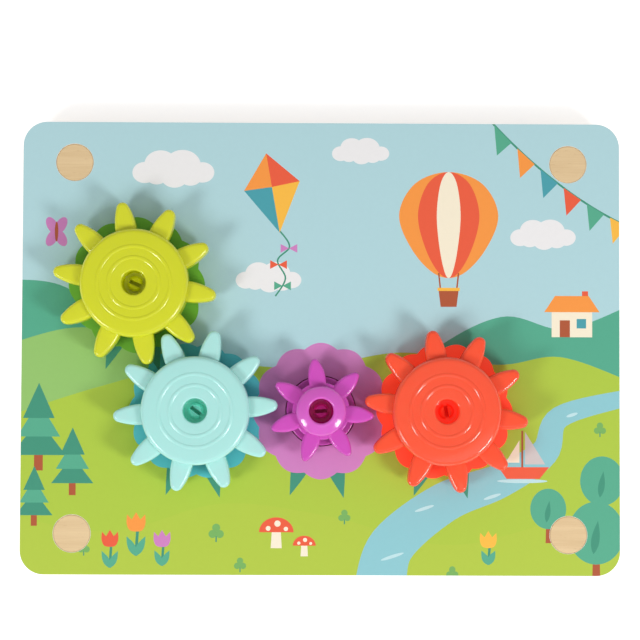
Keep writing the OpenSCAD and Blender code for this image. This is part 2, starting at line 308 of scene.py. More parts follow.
# Painted tones of the lit top, the petals and the shaded well, haze, and the painted glow in the well and
# in the pin's slot.
TONES = {
    "green": (srgb(213, 217, 46), srgb(215, 218, 50), srgb(224, 228, 2), 0.14, 0.0, 0.042),
    "teal": (srgb(178, 230, 225), srgb(181, 231, 226), srgb(148, 246, 226), 0.16, 0.0, 0.028),
    "purple": (srgb(218, 103, 203), srgb(210, 86, 194), srgb(222, 12, 144), 0.10, 0.0, 0.040),
    "red": (srgb(255, 94, 64), srgb(255, 90, 58), srgb(255, 72, 44), 0.07, 0.2, 0.07),
}
PLASTICS = {}
for colour, (top, petal, deep, haze, well_glow, slot_glow) in TONES.items():
    # A pin's colour is the top tone taken two thirds of the way to the deep tone. This is painted shade
    # for its place deep in the well.
    pin = tuple((a + 2 * b) / 3 for a, b in zip(top, deep))
    # Painted glow for the red gear's well and for every pin's slot.
    glow = shade(deep, well_glow) if well_glow else None
    PLASTICS[colour] = plastic(colour + "_plastic", top, petal, deep, haze, AXLES[colour], glow)
    dress(PLASTICS[colour], colour + "_boss")
    glow = shade([c * c for c in deep], slot_glow)
    pin_plastic = plastic(colour + "_pin_plastic", pin, pin, deep, haze, glow=glow, shine=0.15)
    dress(pin_plastic, colour + "_pin")
print("plastics", sorted(PLASTICS))

# %% [markdown]
# ## Plated steel under the board
#
# The screws and washers only show from below. They could be plain mirrors, as polished steel is, but
# small hardware is mostly zinc plated: bright, with a faint blue-grey bloom. So one noise mottles
# both the colour and the roughness.

# %% Screws and washers
def zinc():
    """Bright metal with a mottled bloom."""
    recipe = Recipe("zinc_plate")
    bloom = recipe.noise(recipe.place(), 700, 4, 0.6)
    return recipe.into(
        Base_Color=recipe.ramp(bloom, [(0.35, srgb(176, 182, 190)), (0.65, srgb(214, 214, 208))]),
        Metallic=1.0,
        Roughness=recipe.span(bloom, 0.22, 0.42),
        Normal=recipe.bump(bloom, 0.02 * MM),
    )


dress(zinc(), "axle_screws", "axle_washers")
print("plated screws and washers")

# %% [markdown]
# ## From corners to an object
#
# The sheet, the gears and the floor are new meshes. Each could start from one of Blender's ready
# shapes and be edited, but then every later step depends on how that shape happens to be numbered.
# Here one function fills an empty mesh, and a helper turns its faces outwards and puts it in the
# scene.

# %% Mesh helper
def mesh_object(name, build):
    """Makes an object from a function that fills a bmesh."""
    mesh = bmesh.new()
    build(mesh)
    bmesh.ops.recalc_face_normals(mesh, faces=mesh.faces)
    data = bpy.data.meshes.new(name)
    mesh.to_mesh(data)
    mesh.free()
    made = bpy.data.objects.new(name, data)
    bpy.context.scene.collection.objects.link(made)
    return made


print("mesh helper ready")

# %% [markdown]
# ## The printed face
#
# The face carries a simple landscape: sky, hills, a stream, trees, flowers and a balloon, with a
# scalloped flower under each gear. It could be one image, but a picture file can't be used here and
# would blur close up. Shader maths could draw it, but every new motif would make the node tree
# longer. Cutting the sheet itself along the outlines is crisp at any distance, so each motif is a
# closed outline with an ink, listed from the back to the front. Outlines are in millimetres from the
# middle of the board.

# %% Outline helpers
INKS = {
    "sky": (177, 214, 220), "cloud": (238, 236, 236), "stream": (140, 200, 208), "ripple": (190, 226, 230),
    "far_hill": (80, 171, 140), "near_hill": (148, 196, 106), "grass": (174, 201, 58),
    "lawn": (178, 201, 60), "leaf": (82, 172, 139), "leaf_dark": (58, 148, 120), "fresh": (118, 178, 92),
    "trunk": (178, 84, 44), "orange": (250, 152, 60), "amber": (252, 188, 62), "red_ink": (238, 90, 54),
    "blue_ink": (68, 160, 172), "cream": (248, 236, 210), "stone": (206, 198, 196),
    "lilac": (208, 128, 192), "green_bloom": (114, 190, 44), "teal_bloom": (84, 200, 212),
    "red_bloom": (255, 70, 38), "paper": (240, 240, 234),
}
motifs = []


def ink(name, outline):
    motifs.append((name, outline))


def oval(x, y, rx, ry=None, turn=0, start=0, end=360, steps=48):
    """Points round an ellipse, or a part of one."""
    ry = rx if ry is None else ry
    c, s = math.cos(math.radians(turn)), math.sin(math.radians(turn))
    points = []
    for i in range(steps + (end - start < 360)):
        a = math.radians(start + (end - start) * i / steps)
        u, v = rx * math.cos(a), ry * math.sin(a)
        points.append((x + u * c - v * s, y + u * s + v * c))
    return points


def at(x, y, size, points):
    """Points of a small drawing, made larger and moved into place."""
    return [(x + u * size, y + v * size) for u, v in points]


print(len(INKS), "inks")

# %% [markdown]
# ### Curves, strokes and leaves
#
# Hills, stems and strings have soft outlines. Each could be typed in as a hundred points, but a curve
# that passes through a few listed points is easier to change. A band along such a curve makes
# the stream, the strings and the stems, and a leaf is half a sine wave with its mirror image.

# %% Soft curves, strokes and leaves
def between_points(a, b, c, d, t):
    """A Catmull-Rom curve from b to c, which passes through every given point."""
    return tuple(
        0.5 * (2 * b[m] + (c[m] - a[m]) * t + (2 * a[m] - 5 * b[m] + 4 * c[m] - d[m]) * t * t
               + (3 * b[m] - a[m] - 3 * c[m] + d[m]) * t ** 3)
        for m in (0, 1)
    )


def smooth(points, steps=8, closed=True):
    """A curve through the points, as a ring or with two ends."""
    n = len(points)
    curve = []
    for i in range(n if closed else n - 1):
        near = [i - 1, i, i + 1, i + 2]
        four = [points[k % n] if closed else points[min(max(k, 0), n - 1)] for k in near]
        curve += [between_points(*four, k / steps) for k in range(steps)]
    return curve if closed else curve + [points[-1]]


def stroke(path, width, end_width=None):
    """A band along a path, tapering to end_width."""
    end_width = width if end_width is None else end_width
    left, right = [], []
    for i, (x, y) in enumerate(path):
        ahead, behind = path[min(i + 1, len(path) - 1)], path[max(i - 1, 0)]
        dx, dy = ahead[0] - behind[0], ahead[1] - behind[1]
        size = math.hypot(dx, dy)
        half = (width + (end_width - width) * i / (len(path) - 1)) / 2
        left.append((x - dy / size * half, y + dx / size * half))
        right.append((x + dy / size * half, y - dx / size * half))
    return left + right[::-1]


def leaf(x, y, length, width, turn):
    """A pointed leaf that starts at x, y and grows towards turn."""
    points = [(length * t, width / 2 * math.sin(math.pi * t ** 0.8)) for t in (i / 12 for i in range(13))]
    points += [(u, -v) for u, v in reversed(points[1:-1])]
    c, s = math.cos(math.radians(turn)), math.sin(math.radians(turn))
    return [(x + u * c - v * s, y + u * s + v * c) for u, v in points]


print("a leaf has", len(leaf(0, 0, 10, 4, 0)), "points")

# %% [markdown]
# ### Sky, land and water
#
# Hills, a meadow and a stream lie in front of the sky. They could be cut to fit against each other,
# but overlapping layers leave no gaps: each ground runs from its ridge down past the front edge and
# the next one covers its foot. All run a little past the board, as a printer's bleed does.

# %% Sky and land
BLEED = 5
half_w, half_d = 1000 * BOARD_W / 2, 1000 * BOARD_D / 2
edge_x, edge_y = half_w + BLEED, half_d + BLEED


def land(name, ridge):
    """Ground from a ridge line down past the front edge of the board."""
    line = smooth(ridge, 10, closed=False)
    ink(name, [(line[0][0], -edge_y), (line[-1][0], -edge_y)] + line[::-1])


ink("sky", [(-edge_x, -edge_y), (edge_x, -edge_y), (edge_x, edge_y), (-edge_x, edge_y)])
land("far_hill", [(-edge_x, 34), (-128, 30), (-96, 6), (-70, -20)])
land("far_hill", [(14, -40), (52, -4), (90, 16), (122, 10), (edge_x, 22)])
land("near_hill", [(-edge_x, 2), (-120, 10), (-74, 2), (-30, -12), (0, -30)])
meadow = [(-edge_x, -34), (-112, -20), (-62, -8), (-8, -10), (40, -2), (88, -8), (120, -4), (edge_x, -16)]
land("grass", meadow)
land("lawn", [(-edge_x, -84), (-104, -92), (-50, -78), (4, -84), (60, -98), (104, -90), (edge_x, -70)])
print(len(motifs), "layers of sky and land")

# %% Stream and clouds
bends = [(edge_x, -24), (120, -34), (112, -52), (90, -66), (62, -77), (36, -98), (30, -edge_y)]
ink("stream", stroke(smooth(bends, 8, closed=False), 8, 26))
for x, y, width in ((126, -33, 6), (86, -74, 9), (52, -80, 10), (36, -104, 12)):
    ink("ripple", oval(x, y, width / 2, 0.8, turn=18))


def cloud(x, y, size):
    """Seven ovals that overlap."""
    puffs = (
        (-1.5, 0, 0.62), (-0.7, 0.42, 0.82), (0.4, 0.36, 0.92), (1.4, 0.02, 0.6),
        (0, -0.16, 0.7), (0.8, -0.14, 0.6), (-0.9, -0.12, 0.56),
    )
    for u, v, r in puffs:
        ink("cloud", oval(x + u * size, y + v * size, r * size, r * size * 0.86))


for x, y, size in ((-74, 88, 10), (112, 56, 8), (20, 98, 7), (-26, 34, 8)):
    cloud(x, y, size)
print(len(motifs), "outlines so far")

# %% [markdown]
# ### Things in the air
#
# A kite, a balloon and a string of flags fill the sky. Real ones have soft folds, but a print of this
# kind uses plain flat inks, so each is a few simple shapes. The balloon's stripes are its own outline
# squeezed narrower, so they all meet at its top.

# %% Kite, balloon and bunting
KITE = (-24, 78)
curls = ((3, -19), (8, -27), (2, -34), (6, -43), (1, -52))
tail = smooth(at(*KITE, 1, curls), 8, closed=False)
ink("leaf_dark", stroke(tail, 0.8))
top, right, foot, left = (-4, 20), (13, 6), (3, -20), (-15, 1)
for tint, corner, next_corner in (
    ("red_ink", top, right), ("amber", right, foot), ("blue_ink", foot, left), ("orange", left, top),
):
    ink(tint, at(*KITE, 1, [(-1, 3), corner, next_corner]))
for tint, knot in (("lilac", tail[9]), ("red_ink", tail[18]), ("leaf", tail[27])):
    for side in (-1, 1):
        ink(tint, at(*knot, 1, [(0, 0), (4.2 * side, 2.2), (4.2 * side, -2.2)]))

BALLOON = (64, 64)
side = [(17, 19), (25, 3), (18, -15), (6, -27)]
envelope = smooth([(0, 25)] + side + [(-x, y) for x, y in reversed(side)], 8)
for squeeze, tint in ((1.0, "orange"), (0.62, "red_ink"), (0.24, "cream")):
    ink(tint, at(*BALLOON, 1, [(x * squeeze, y) for x, y in envelope]))
for side in (-1, 1):
    ink("trunk", at(*BALLOON, 1, stroke([(5 * side, -26), (4 * side, -35)], 0.8)))
ink("trunk", at(*BALLOON, 1, [(-5, -35), (-4, -43), (4, -43), (5, -35)]))
ink("amber", at(*BALLOON, 1, [(-5.6, -35), (5.6, -35), (5.6, -33.4), (-5.6, -33.4)]))

garland = [(84 + 70 * t, 116 - 54 * t + 22 * t * (t - 1)) for t in (i / 24 for i in range(25))]
ink("leaf_dark", stroke(garland, 1.0))
for k, tint in enumerate(("leaf", "orange", "blue_ink", "red_ink", "leaf", "amber")):
    a, b = garland[1 + 4 * k], garland[4 + 4 * k]
    ink(tint, [a, b, ((a[0] + b[0]) / 2 - 3, (a[1] + b[1]) / 2 - 11)])
print(len(motifs), "outlines so far")

# %% [markdown]
# ### A house, a boat and trees
#
# The firs and the round trees come in several sizes. Each could be typed in again, but a drawing that
# is made once, in units of its own size, can be placed as often as needed and stays alike.

# %% House, boat and trees
def house(x, y, size):
    ink("red_ink", at(x, y, size, [(0.3, 0.9), (0.3, 1.36), (0.48, 1.36), (0.48, 0.9)]))
    ink("cream", at(x, y, size, [(-0.6, 0), (0.6, 0), (0.6, 0.78), (-0.6, 0.78)]))
    ink("orange", at(x, y, size, [(-0.82, 0.74), (0.82, 0.74), (0.5, 1.22), (-0.5, 1.22)]))
    ink("trunk", at(x, y, size, [(-0.36, 0), (-0.06, 0), (-0.06, 0.5), (-0.36, 0.5)]))
    ink("blue_ink", at(x, y, size, [(0.14, 0.26), (0.42, 0.26), (0.42, 0.54), (0.14, 0.54)]))


def sailing_boat(x, y, size):
    ink("trunk", at(x, y, size, stroke([(0, 0.1), (0, 1.5)], 0.07)))
    ink("stone", at(x, y, size, [(0.1, 0.3), (0.1, 1.46), (0.82, 0.3)]))
    ink("cream", at(x, y, size, [(-0.1, 0.36), (-0.1, 1.16), (-0.6, 0.36)]))
    ink("red_ink", at(x, y, size, [(-0.86, 0.2), (0.96, 0.2), (0.62, -0.22), (-0.56, -0.22)]))
    ink("ripple", oval(x, y - 0.3 * size, size * 0.9, size * 0.07))


def round_tree(x, y, size):
    ink("trunk", stroke([(x, y - size * 1.9), (x, y)], size * 0.3, size * 0.2))
    ink("leaf", oval(x, y, size, size * 1.12))
    ink("leaf_dark", leaf(x - size * 0.1, y - size * 0.75, size * 1.2, size * 0.3, 82))


def fir(x, y, size):
    ink("trunk", stroke([(x, y - size * 0.35), (x, y)], size * 0.2))
    for level, tint in enumerate(("leaf_dark", "leaf", "leaf_dark")):
        low, half = y + size * 0.42 * level, size * (0.62 - 0.13 * level)
        ink(tint, [(x - half, low), (x + half, low), (x, low + size * 0.8)])


house(126, 6, 17)
sailing_boat(101, -62, 14)
for x, y, size in ((141, -66, 11), (114, -80, 9), (138, -92, 14)):
    round_tree(x, y, size)
for x, y, size in ((-141, -54, 22), (-124, -68, 17), (-143, -84, 15)):
    fir(x, y, size)
print(len(motifs), "outlines so far")

# %% [markdown]
# ### Small things on the ground
#
# Tulips, mushrooms, clover and a butterfly fill what is left of the land. Scattering them by chance
# would hide some under the gears, so each has a place of its own in the open.

# %% Tulips, mushrooms and a butterfly
def tulip(x, y, height, size, tint):
    ink("leaf_dark", stroke([(x, y), (x + size * 0.1, y + height)], size * 0.16))
    for side in (-1, 1):
        ink("leaf", leaf(x, y, height * 0.72, size * 0.42, 90 - 26 * side))
    bowl = [(-0.5, 0.62), (-0.52, 0.1), (-0.3, -0.28), (0.3, -0.28), (0.52, 0.1), (0.5, 0.62)]
    cup = smooth(bowl, 5, closed=False)
    ink(tint, at(x, y + height, size, cup + [(0.24, 0.34), (0, 0.74), (-0.24, 0.34)]))


def mushroom(x, y, size):
    ink("cream", stroke([(x, y), (x, y + size * 0.8)], size * 0.46, size * 0.36))
    ink("red_ink", oval(x, y + size * 0.66, size * 0.72, size * 0.62, end=180, steps=24))
    for u, v, r in ((-0.34, 0.82, 0.1), (0.05, 1.02, 0.13), (0.4, 0.8, 0.09)):
        ink("cream", oval(x + u * size, y + v * size, r * size))


def clover(x, y, size):
    ink("leaf_dark", stroke([(x, y - size), (x, y)], size * 0.14))
    for turn in (90, 210, 330):
        away = math.radians(turn)
        ink("fresh", oval(x + 0.42 * size * math.cos(away), y + 0.42 * size * math.sin(away), size * 0.4))


for x, y, height, size, tint in (
    (-92, -104, 15, 9, "orange"), (-79, -109, 12, 8, "lilac"),
    (-105, -110, 13, 8, "red_ink"), (84, -108, 11, 8, "amber"),
):
    tulip(x, y, height, size, tint)
mushroom(-22, -100, 12)
mushroom(-8, -104, 8)
clover(-52, -92, 5)
for x, y in ((12, -84), (-40, -108), (66, -112), (140, -40), (-118, -100)):
    clover(x, y, 4)
x, y = -133, 58
for turn in (60, 120, 240, 300):
    away = math.radians(turn)
    ink("lilac", oval(x + 4.4 * math.cos(away), y + 3.6 * math.sin(away), 4.6, 2.6, turn=turn))
ink("trunk", oval(x, y, 0.9, 5))
print(len(motifs), "outlines so far")

# %% [markdown]
# ### A flower under each gear
#
# Every gear stands on a printed patch in its own colour. A plain disc would do, but an edge of even
# lobes makes it a flower with the gear in its middle. A cosine without its sign, run round a circle,
# draws lobes that are round outside and meet in a notch.

# %% A flower under each gear
def scalloped(x, y, radius, lobes, depth):
    """A round flower with an edge of even lobes."""
    points = []
    for i in range(lobes * 12):
        a = 2 * math.pi * i / (lobes * 12)
        r = radius - depth * (1 - abs(math.cos(a * lobes / 2)))
        points.append((x + r * math.cos(a), y + r * math.sin(a)))
    return points


BLOOM_R, LOBE_DEPTH = 34.2, 2.4
BLOOMS = {
    "teal": ("teal_bloom", 14), "purple": ("lilac", 12),
    "green": ("green_bloom", 12), "red": ("red_bloom", 14),
}
for colour, (tint, lobes) in BLOOMS.items():
    x, y = 1000 * AXLES[colour].x, 1000 * AXLES[colour].y
    for turn in (250, 285):
        ink("leaf_dark", leaf(x, y, 45, 12, turn))
    ink(tint, scalloped(x, y, BLOOM_R, lobes, LOBE_DEPTH))
print(len(motifs), "outlines")

# %% [markdown]
# ## Printing inks
#
# Ink on paper is flat. It could be one plain colour, but close up a print has a faint mottle, the
# tooth of the paper and a thin film over both, so each ink gets these three. The flower under the
# red gear also has a faint painted glow, for the red light that the gear passes down to it.

# %% Inks
# Painted light: inks that glow, with the strength of their glow.
GLOWS = {"red_bloom": 0.33}


def printed(name, colour):
    """Ink with a mottle of a few hundredths, on fibrous paper under a film."""
    recipe = Recipe("ink_" + name)
    mottle = recipe.noise(recipe.place(), 420, 4, 0.6)
    fibre = recipe.noise(recipe.place((900, 2600, 900)), 1.0, 3, 0.6)
    tone = recipe.mix(recipe.span(mottle, 0.0, 0.5), shade(colour, 1.03), shade(colour, 0.95))
    recipe.into(Coat_Weight=0.12, Coat_Roughness=0.4)
    # Painted glow, for light passed down by the gear above.
    if name in GLOWS:
        recipe.into(Emission_Color=shade(colour, GLOWS[name]), Emission_Strength=1.0)
    gloss = recipe.span(fibre, 0.5, 0.66)
    return recipe.into(Base_Color=tone, Roughness=gloss, Normal=recipe.bump(fibre, 0.01 * MM))


ink_materials = {name: printed(name, srgb(*rgb)) for name, rgb in INKS.items()}
print(len(ink_materials), "ink finishes")

# %% [markdown]
# ## Cutting the sheet along its outlines
#
# The print lies on the board with round holes for the feet's tenons and the bosses. Layers of paper
# could be stacked, but thin layers flicker and need gaps. One constrained triangulation instead
# splits the sheet wherever two outlines cross and remembers which outlines hold each triangle. The
# last one listed wins, as the top ink does in print, and triangles in a hole are left out. The print
# stops a hair short of the board's edge and of the tenons, so a thin line of bare paper shows there.

# %% Edges of the print
CORNER_R = 12
TENON_HOLE_R = 9.4
SEAT_R = 17.75
PAPER_EDGE = 0.12


def board_outline(inset):
    """The board's outline with round corners, moved inwards."""
    w, d, r = half_w - inset, half_d - inset, CORNER_R - inset
    points = []
    for x, y, start in ((w - r, d - r, 0), (r - w, d - r, 90), (r - w, r - d, 180), (w - r, r - d, 270)):
        points += oval(x, y, r, start=start, end=start + 90, steps=12)
    return points


def counter_clockwise(points):
    area = sum(a[0] * b[1] - b[0] * a[1] for a, b in zip(points, points[1:] + points[:1]))
    return points if area > 0 else points[::-1]


def middle(node):
    low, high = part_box(node)
    return (low + high) / 2


tenon_holes = [(1000 * p.x, 1000 * p.y, TENON_HOLE_R) for p in map(middle, FEET)]
seat_holes = [(1000 * p.x, 1000 * p.y, SEAT_R) for p in AXLES.values()]
rings = [oval(x, y, r + PAPER_EDGE, steps=96) for x, y, r in tenon_holes]
holes = [oval(x, y, r, steps=96) for x, y, r in tenon_holes + seat_holes]
print(len(holes), "holes through the print")

# %% Triangulate
TRIANGLES_INSIDE = 1
SAME_POINT = 1e-5
layers = [board_outline(0)] + [outline for name, outline in motifs]
layers += rings + holes + [board_outline(PAPER_EDGE)]
whole_board, inner_edge = 0, len(layers) - 1
first_ring = 1 + len(motifs)
first_hole = first_ring + len(rings)
corners, loops = [], []
for layer in layers:
    loop = counter_clockwise(layer)
    loops.append(list(range(len(corners), len(corners) + len(loop))))
    corners += [Vector(p) for p in loop]
cut = delaunay_2d_cdt(corners, [], loops, TRIANGLES_INSIDE, SAME_POINT)
cut_points, cut_faces, face_layers = cut[0], cut[2], cut[5]
print(len(layers), "layers cut into", len(cut_faces), "triangles")

# %% Ink the triangles and raise the sheet
ink_names = list(INKS)


def ink_on(sources):
    """The ink of a triangle from the layers it lies in, or None where the sheet has a hole."""
    inside = set(sources)
    top_layer = max(inside - {inner_edge}, default=whole_board)
    if whole_board not in inside or top_layer >= first_hole:
        return None
    if inner_edge not in inside or top_layer >= first_ring:
        return "paper"
    return motifs[top_layer - 1][0]


def sheet(mesh):
    """One flat face for each triangle that holds ink or paper, then the thickness."""
    verts = [mesh.verts.new((v.x * MM, v.y * MM, sheet_low[2])) for v in cut_points]
    for face, sources in zip(cut_faces, face_layers):
        name = ink_on(sources)
        if name:
            made = mesh.faces.new([verts[i] for i in face])
            made.material_index = ink_names.index(name)
    bmesh.ops.delete(mesh, geom=[v for v in mesh.verts if not v.link_faces], context="VERTS")
    raised = bmesh.ops.extrude_face_region(mesh, geom=list(mesh.faces), use_keep_orig=True)
    lifted = [g for g in raised["geom"] if isinstance(g, bmesh.types.BMVert)]
    bmesh.ops.translate(mesh, vec=(0, 0, sheet_high[2] - sheet_low[2]), verts=lifted)


printed_face = mesh_object("printed_face", sheet)
for name in ink_names:
    printed_face.data.materials.append(ink_materials[name])
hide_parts("printed_sheet")
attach(printed_face, "base")
print("sheet of", len(printed_face.data.polygons), "faces")

# %% [markdown]
# ## The gears
#
# Three large gears share one shape and differ in colour and angle, and a smaller one stands between
# two of them. Each could be modelled where it stands. Here each is built round the middle of the
# scene from a table of its kind's sizes, and only then turned and moved onto its axle. Heights are
# measured from the top of the print. The frame's solids carry the same sizes, apart from finer rings
# and edges here and from the large gears' petals, which rise a little higher.

# %% Gear sizes
SKIRT_Z = 4.6 * MM
PAD_Z = 3.3 * MM
TOOTH_Z = 6 * MM
TOOTH_H = 9 * MM
WALL = 2 * MM
WELL_R = 6 * MM
WELL_FLOOR = 9.8 * MM
RIM_R = 0.9 * MM
BORE_R = 3.0 * MM
LARGE = {
    "teeth": 10, "root": 26.8 * MM, "nose_x": 10.75 * MM, "flank_y": 25.8 * MM, "half": 5.2 * MM,
    "hub": 26.8 * MM, "ceiling": HUB_TOP - 2.4 * MM, "ribs": 5, "edge": 1.8 * MM, "rise": 1.5 * MM,
}
SMALL = {
    "teeth": 7, "root": 15.8 * MM, "nose_x": 8.4 * MM, "flank_y": 13.5 * MM, "half": 4.3 * MM,
    "hub": 12.28 * MM, "ceiling": HUB_TOP - 2.5 * MM, "ribs": 3, "edge": 1.5 * MM, "rise": 0,
}


def arc(x, z, radius, start, end, steps=8):
    """Points round a circle, from one angle in degrees to another."""
    angles = [math.radians(start + (end - start) * i / steps) for i in range(steps + 1)]
    return [(x + radius * math.cos(a), z + radius * math.sin(a)) for a in angles]


print("arc helper gives", len(arc(0, 0, 1, 0, 90)), "points a quarter")

# %% [markdown]
# ### The hub's profile
#
# A hub is a thin round shell, hollow below, with a well in the middle and a bore for its pin.
# Cylinders with bevelled edges could be stacked, but the rings and the rim of the well need a true
# section. So arcs that meet without a kink go round the section once, and the section is spun.

# %% Hub profiles
RING_RADII = (12.5 * MM, 18 * MM)


def underside(sizes):
    """Half profile from the skirt's outside, under the hub and back to the bore."""
    inner, tube, ceiling = sizes["hub"] - WALL, WELL_R + WALL, sizes["ceiling"]
    return [
        (sizes["hub"], SKIRT_Z), (inner, SKIRT_Z), (inner, ceiling), (tube, ceiling),
        (tube, WELL_FLOOR - WALL), (BORE_R + WALL, WELL_FLOOR - WALL), (BORE_R + WALL, PAD_Z),
        (BORE_R, PAD_Z),
    ]


def well():
    """From the bore over the well's floor to the foot of its wall."""
    return [(BORE_R, WELL_FLOOR)] + arc(WELL_R - RIM_R, WELL_FLOOR + RIM_R, RIM_R, -90, 0)


def large_profile():
    """A flat top with two low rings, falling a little to its round edge."""
    edge, fall, ring_r, sunk, edge_start = 2.6 * MM, 0.25 * MM, 1.9 * MM, 1.61 * MM, 86
    steep = math.degrees(math.asin(sunk / ring_r))
    points = well() + arc(WELL_R + RIM_R, HUB_TOP - RIM_R, RIM_R, 180, 90)
    for radius in RING_RADII:
        points += arc(radius, HUB_TOP - sunk, ring_r, 180 - steep, steep, 10)
    points += arc(LARGE["hub"] - edge, HUB_TOP - fall - edge, edge, edge_start, 0, 10)
    return points + underside(LARGE)


def small_profile():
    """A dome that rolls over into a straight wall, and a collar that carries the petals."""
    dome_r, dome_z = 26 * MM, -3 * MM
    rim_x, rim_z, rim_r = 7 * MM, 21 * MM, 1 * MM
    edge_x, edge_z, edge_r = 10.08 * MM, 18.56 * MM, 2.2 * MM
    rim_end = math.degrees(math.atan2(rim_z - dome_z, rim_x))
    dome_end = math.degrees(math.atan2(edge_z - dome_z, edge_x))
    points = well() + arc(rim_x, rim_z, rim_r, 180, rim_end)
    points += arc(0, dome_z, dome_r, rim_end, dome_end, 6)[1:]
    points += arc(edge_x, edge_z, edge_r, dome_end, 0)[1:]
    collar, collar_z, collar_edge = 14.15 * MM, TOOTH_Z + TOOTH_H - 0.5 * MM, 0.6 * MM
    corner = 0.4 * MM
    points += arc(SMALL["hub"] + corner, collar_z + corner, corner, 180, 270, 4)
    points += arc(collar - collar_edge, collar_z - collar_edge, collar_edge, 90, 0, 6)
    return points + [(collar, SKIRT_Z)] + underside(SMALL)[1:]


print("profile points", len(small_profile()), "and", len(large_profile()))

# %% Spin a profile
def spun(mesh, profile, steps=128):
    """Turns a closed profile into a ring of quads round Z."""
    rows = []
    for i in range(steps):
        a = 2 * math.pi * i / steps
        rows.append([mesh.verts.new((r * math.cos(a), r * math.sin(a), z)) for r, z in profile])
    for i in range(steps):
        here, there = rows[i], rows[(i + 1) % steps]
        for k in range(len(profile)):
            m = (k + 1) % len(profile)
            mesh.faces.new((here[k], here[m], there[m], there[k]))


print("spin helper ready")

# %% [markdown]
# ### Petal teeth
#
# A petal tooth is widest near the hub and ends in a round nose. It could be sculpted, but two large
# arcs for its sides and a small one for its nose give the same tooth every time. The outline is
# drawn at ten heights, smaller towards the top, and stitched together. That gives the soft edge of a
# moulding without a bevel.

# %% Petal teeth
def petal_outline(sizes, inset, tail, steps=14):
    """One side of a petal from its nose to its root, moved inwards by inset."""
    nose_x, flank_y = sizes["nose_x"], sizes["flank_y"]
    flank_r = flank_y + sizes["half"]
    nose_r = flank_r - math.hypot(nose_x, flank_y)
    turn = math.degrees(math.atan2(flank_y, nose_x))
    points = arc(nose_x, 0, nose_r - inset, 0, turn, 8)
    tail_angle = math.degrees(math.acos(-tail / (flank_r - inset)))
    points += arc(0, -flank_y, flank_r - inset, turn, tail_angle, steps)[1:]
    return [(x + sizes["root"], y) for x, y in points]


def petal(mesh, sizes, angle):
    """A closed tooth: a skin over stacked outlines, each given by its inset and its height."""
    tail = sizes["root"] - sizes["hub"] + WALL / 2
    edge, top, edge_steps = sizes["edge"], TOOTH_H + sizes["rise"], 6
    levels = [(0.5 * MM, 0), (0.15 * MM, 0.15 * MM), (0, 0.5 * MM)]
    for k in range(edge_steps + 1):
        a = math.pi / 2 * k / edge_steps
        levels.append((edge * (1 - math.cos(a)), top - edge * (1 - math.sin(a))))
    c, s = math.cos(angle), math.sin(angle)
    rows = []
    for inset, z in levels:
        side = petal_outline(sizes, inset, tail)
        loop = side + [(x, -y) for x, y in reversed(side[1:])]
        rows.append([mesh.verts.new((x * c - y * s, x * s + y * c, TOOTH_Z + z)) for x, y in loop])
    count = len(rows[0])
    for low, high in zip(rows, rows[1:]):
        for k in range(count):
            m = (k + 1) % count
            mesh.faces.new((low[k], low[m], high[m], high[k]))
    mesh.faces.new(list(reversed(rows[0])))
    mesh.faces.new(rows[-1])


print("outline points on one side of a small petal", len(petal_outline(SMALL, 0, 2 * MM)))

# %% [markdown]
# ### One moulding for each gear
#
# A real gear leaves its mould in one piece, with upright webs inside its hub to stiffen it. Hub,
# petals and webs could stay three meshes, but their hidden faces would show as cuts in the cloudy
# plastic. An exact boolean joins them into one closed skin. Smooth shading then hides the facets, and
# only edges of more than 20 degrees stay crisp.

# %% Webs, and a way to join
BOX_SIDES = ((0, 1, 3, 2), (4, 6, 7, 5), (0, 4, 5, 1), (2, 3, 7, 6), (0, 2, 6, 4), (1, 5, 7, 3))


def united(base, extra):
    """Boolean union of two objects, baked into base's mesh."""
    join = base.modifiers.new("join", "BOOLEAN")
    join.operation = "UNION"
    join.solver = "EXACT"
    join.object = extra
    bpy.context.view_layer.update()
    baked = bpy.data.meshes.new_from_object(base.evaluated_get(bpy.context.evaluated_depsgraph_get()))
    base.modifiers.clear()
    base.data = baked
    bpy.data.objects.remove(extra)
    return base


def ribs(mesh, sizes):
    """Upright webs under the hub, from the well's tube to the outer wall, sunk a little into both."""
    half, sunk = 0.8 * MM, 0.5 * MM
    ends = (WELL_R + WALL - sunk, sizes["hub"] - WALL + sunk)
    levels = (WELL_FLOOR, sizes["ceiling"] + sunk)
    box = [(x, y, z) for x in ends for y in (-half, half) for z in levels]
    for k in range(sizes["ribs"]):
        a = 2 * math.pi * (k + 0.5) / sizes["ribs"]
        c, s = math.cos(a), math.sin(a)
        v = [mesh.verts.new((x * c - y * s, x * s + y * c, z)) for x, y, z in box]
        for side in BOX_SIDES:
            mesh.faces.new([v[i] for i in side])


def petals(mesh, sizes):
    for k in range(sizes["teeth"]):
        petal(mesh, sizes, 2 * math.pi * k / sizes["teeth"])


print("each large gear joins", LARGE["teeth"], "petals and", LARGE["ribs"], "webs to its hub")

# %% Make the four gears
PHASES = {"green": 27.5, "teal": 4.1, "purple": -5.5, "red": 28.5}
CRISP_FROM = 20


def gear(colour, sizes, profile):
    """Makes one gear, turns it to its angle and puts it on its axle in place of the frame's."""
    hub = mesh_object(colour + "_gear_moulding", lambda mesh: spun(mesh, profile))
    teeth = mesh_object(colour + "_teeth", lambda mesh: petals(mesh, sizes))
    webs = mesh_object(colour + "_webs", lambda mesh: ribs(mesh, sizes))
    moulding = united(united(hub, teeth), webs)
    axle, turn = AXLES[colour], math.radians(PHASES[colour])
    moulding.data.transform(Matrix.Translation((axle.x, axle.y, FACE_Z)) @ Matrix.Rotation(turn, 4, "Z"))
    moulding.data.shade_smooth()
    moulding.data.set_sharp_from_angle(angle=math.radians(CRISP_FROM))
    moulding.data.materials.clear()
    moulding.data.materials.append(PLASTICS[colour])
    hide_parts(colour + "_gear")
    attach(moulding, colour + "_gear")
    return moulding


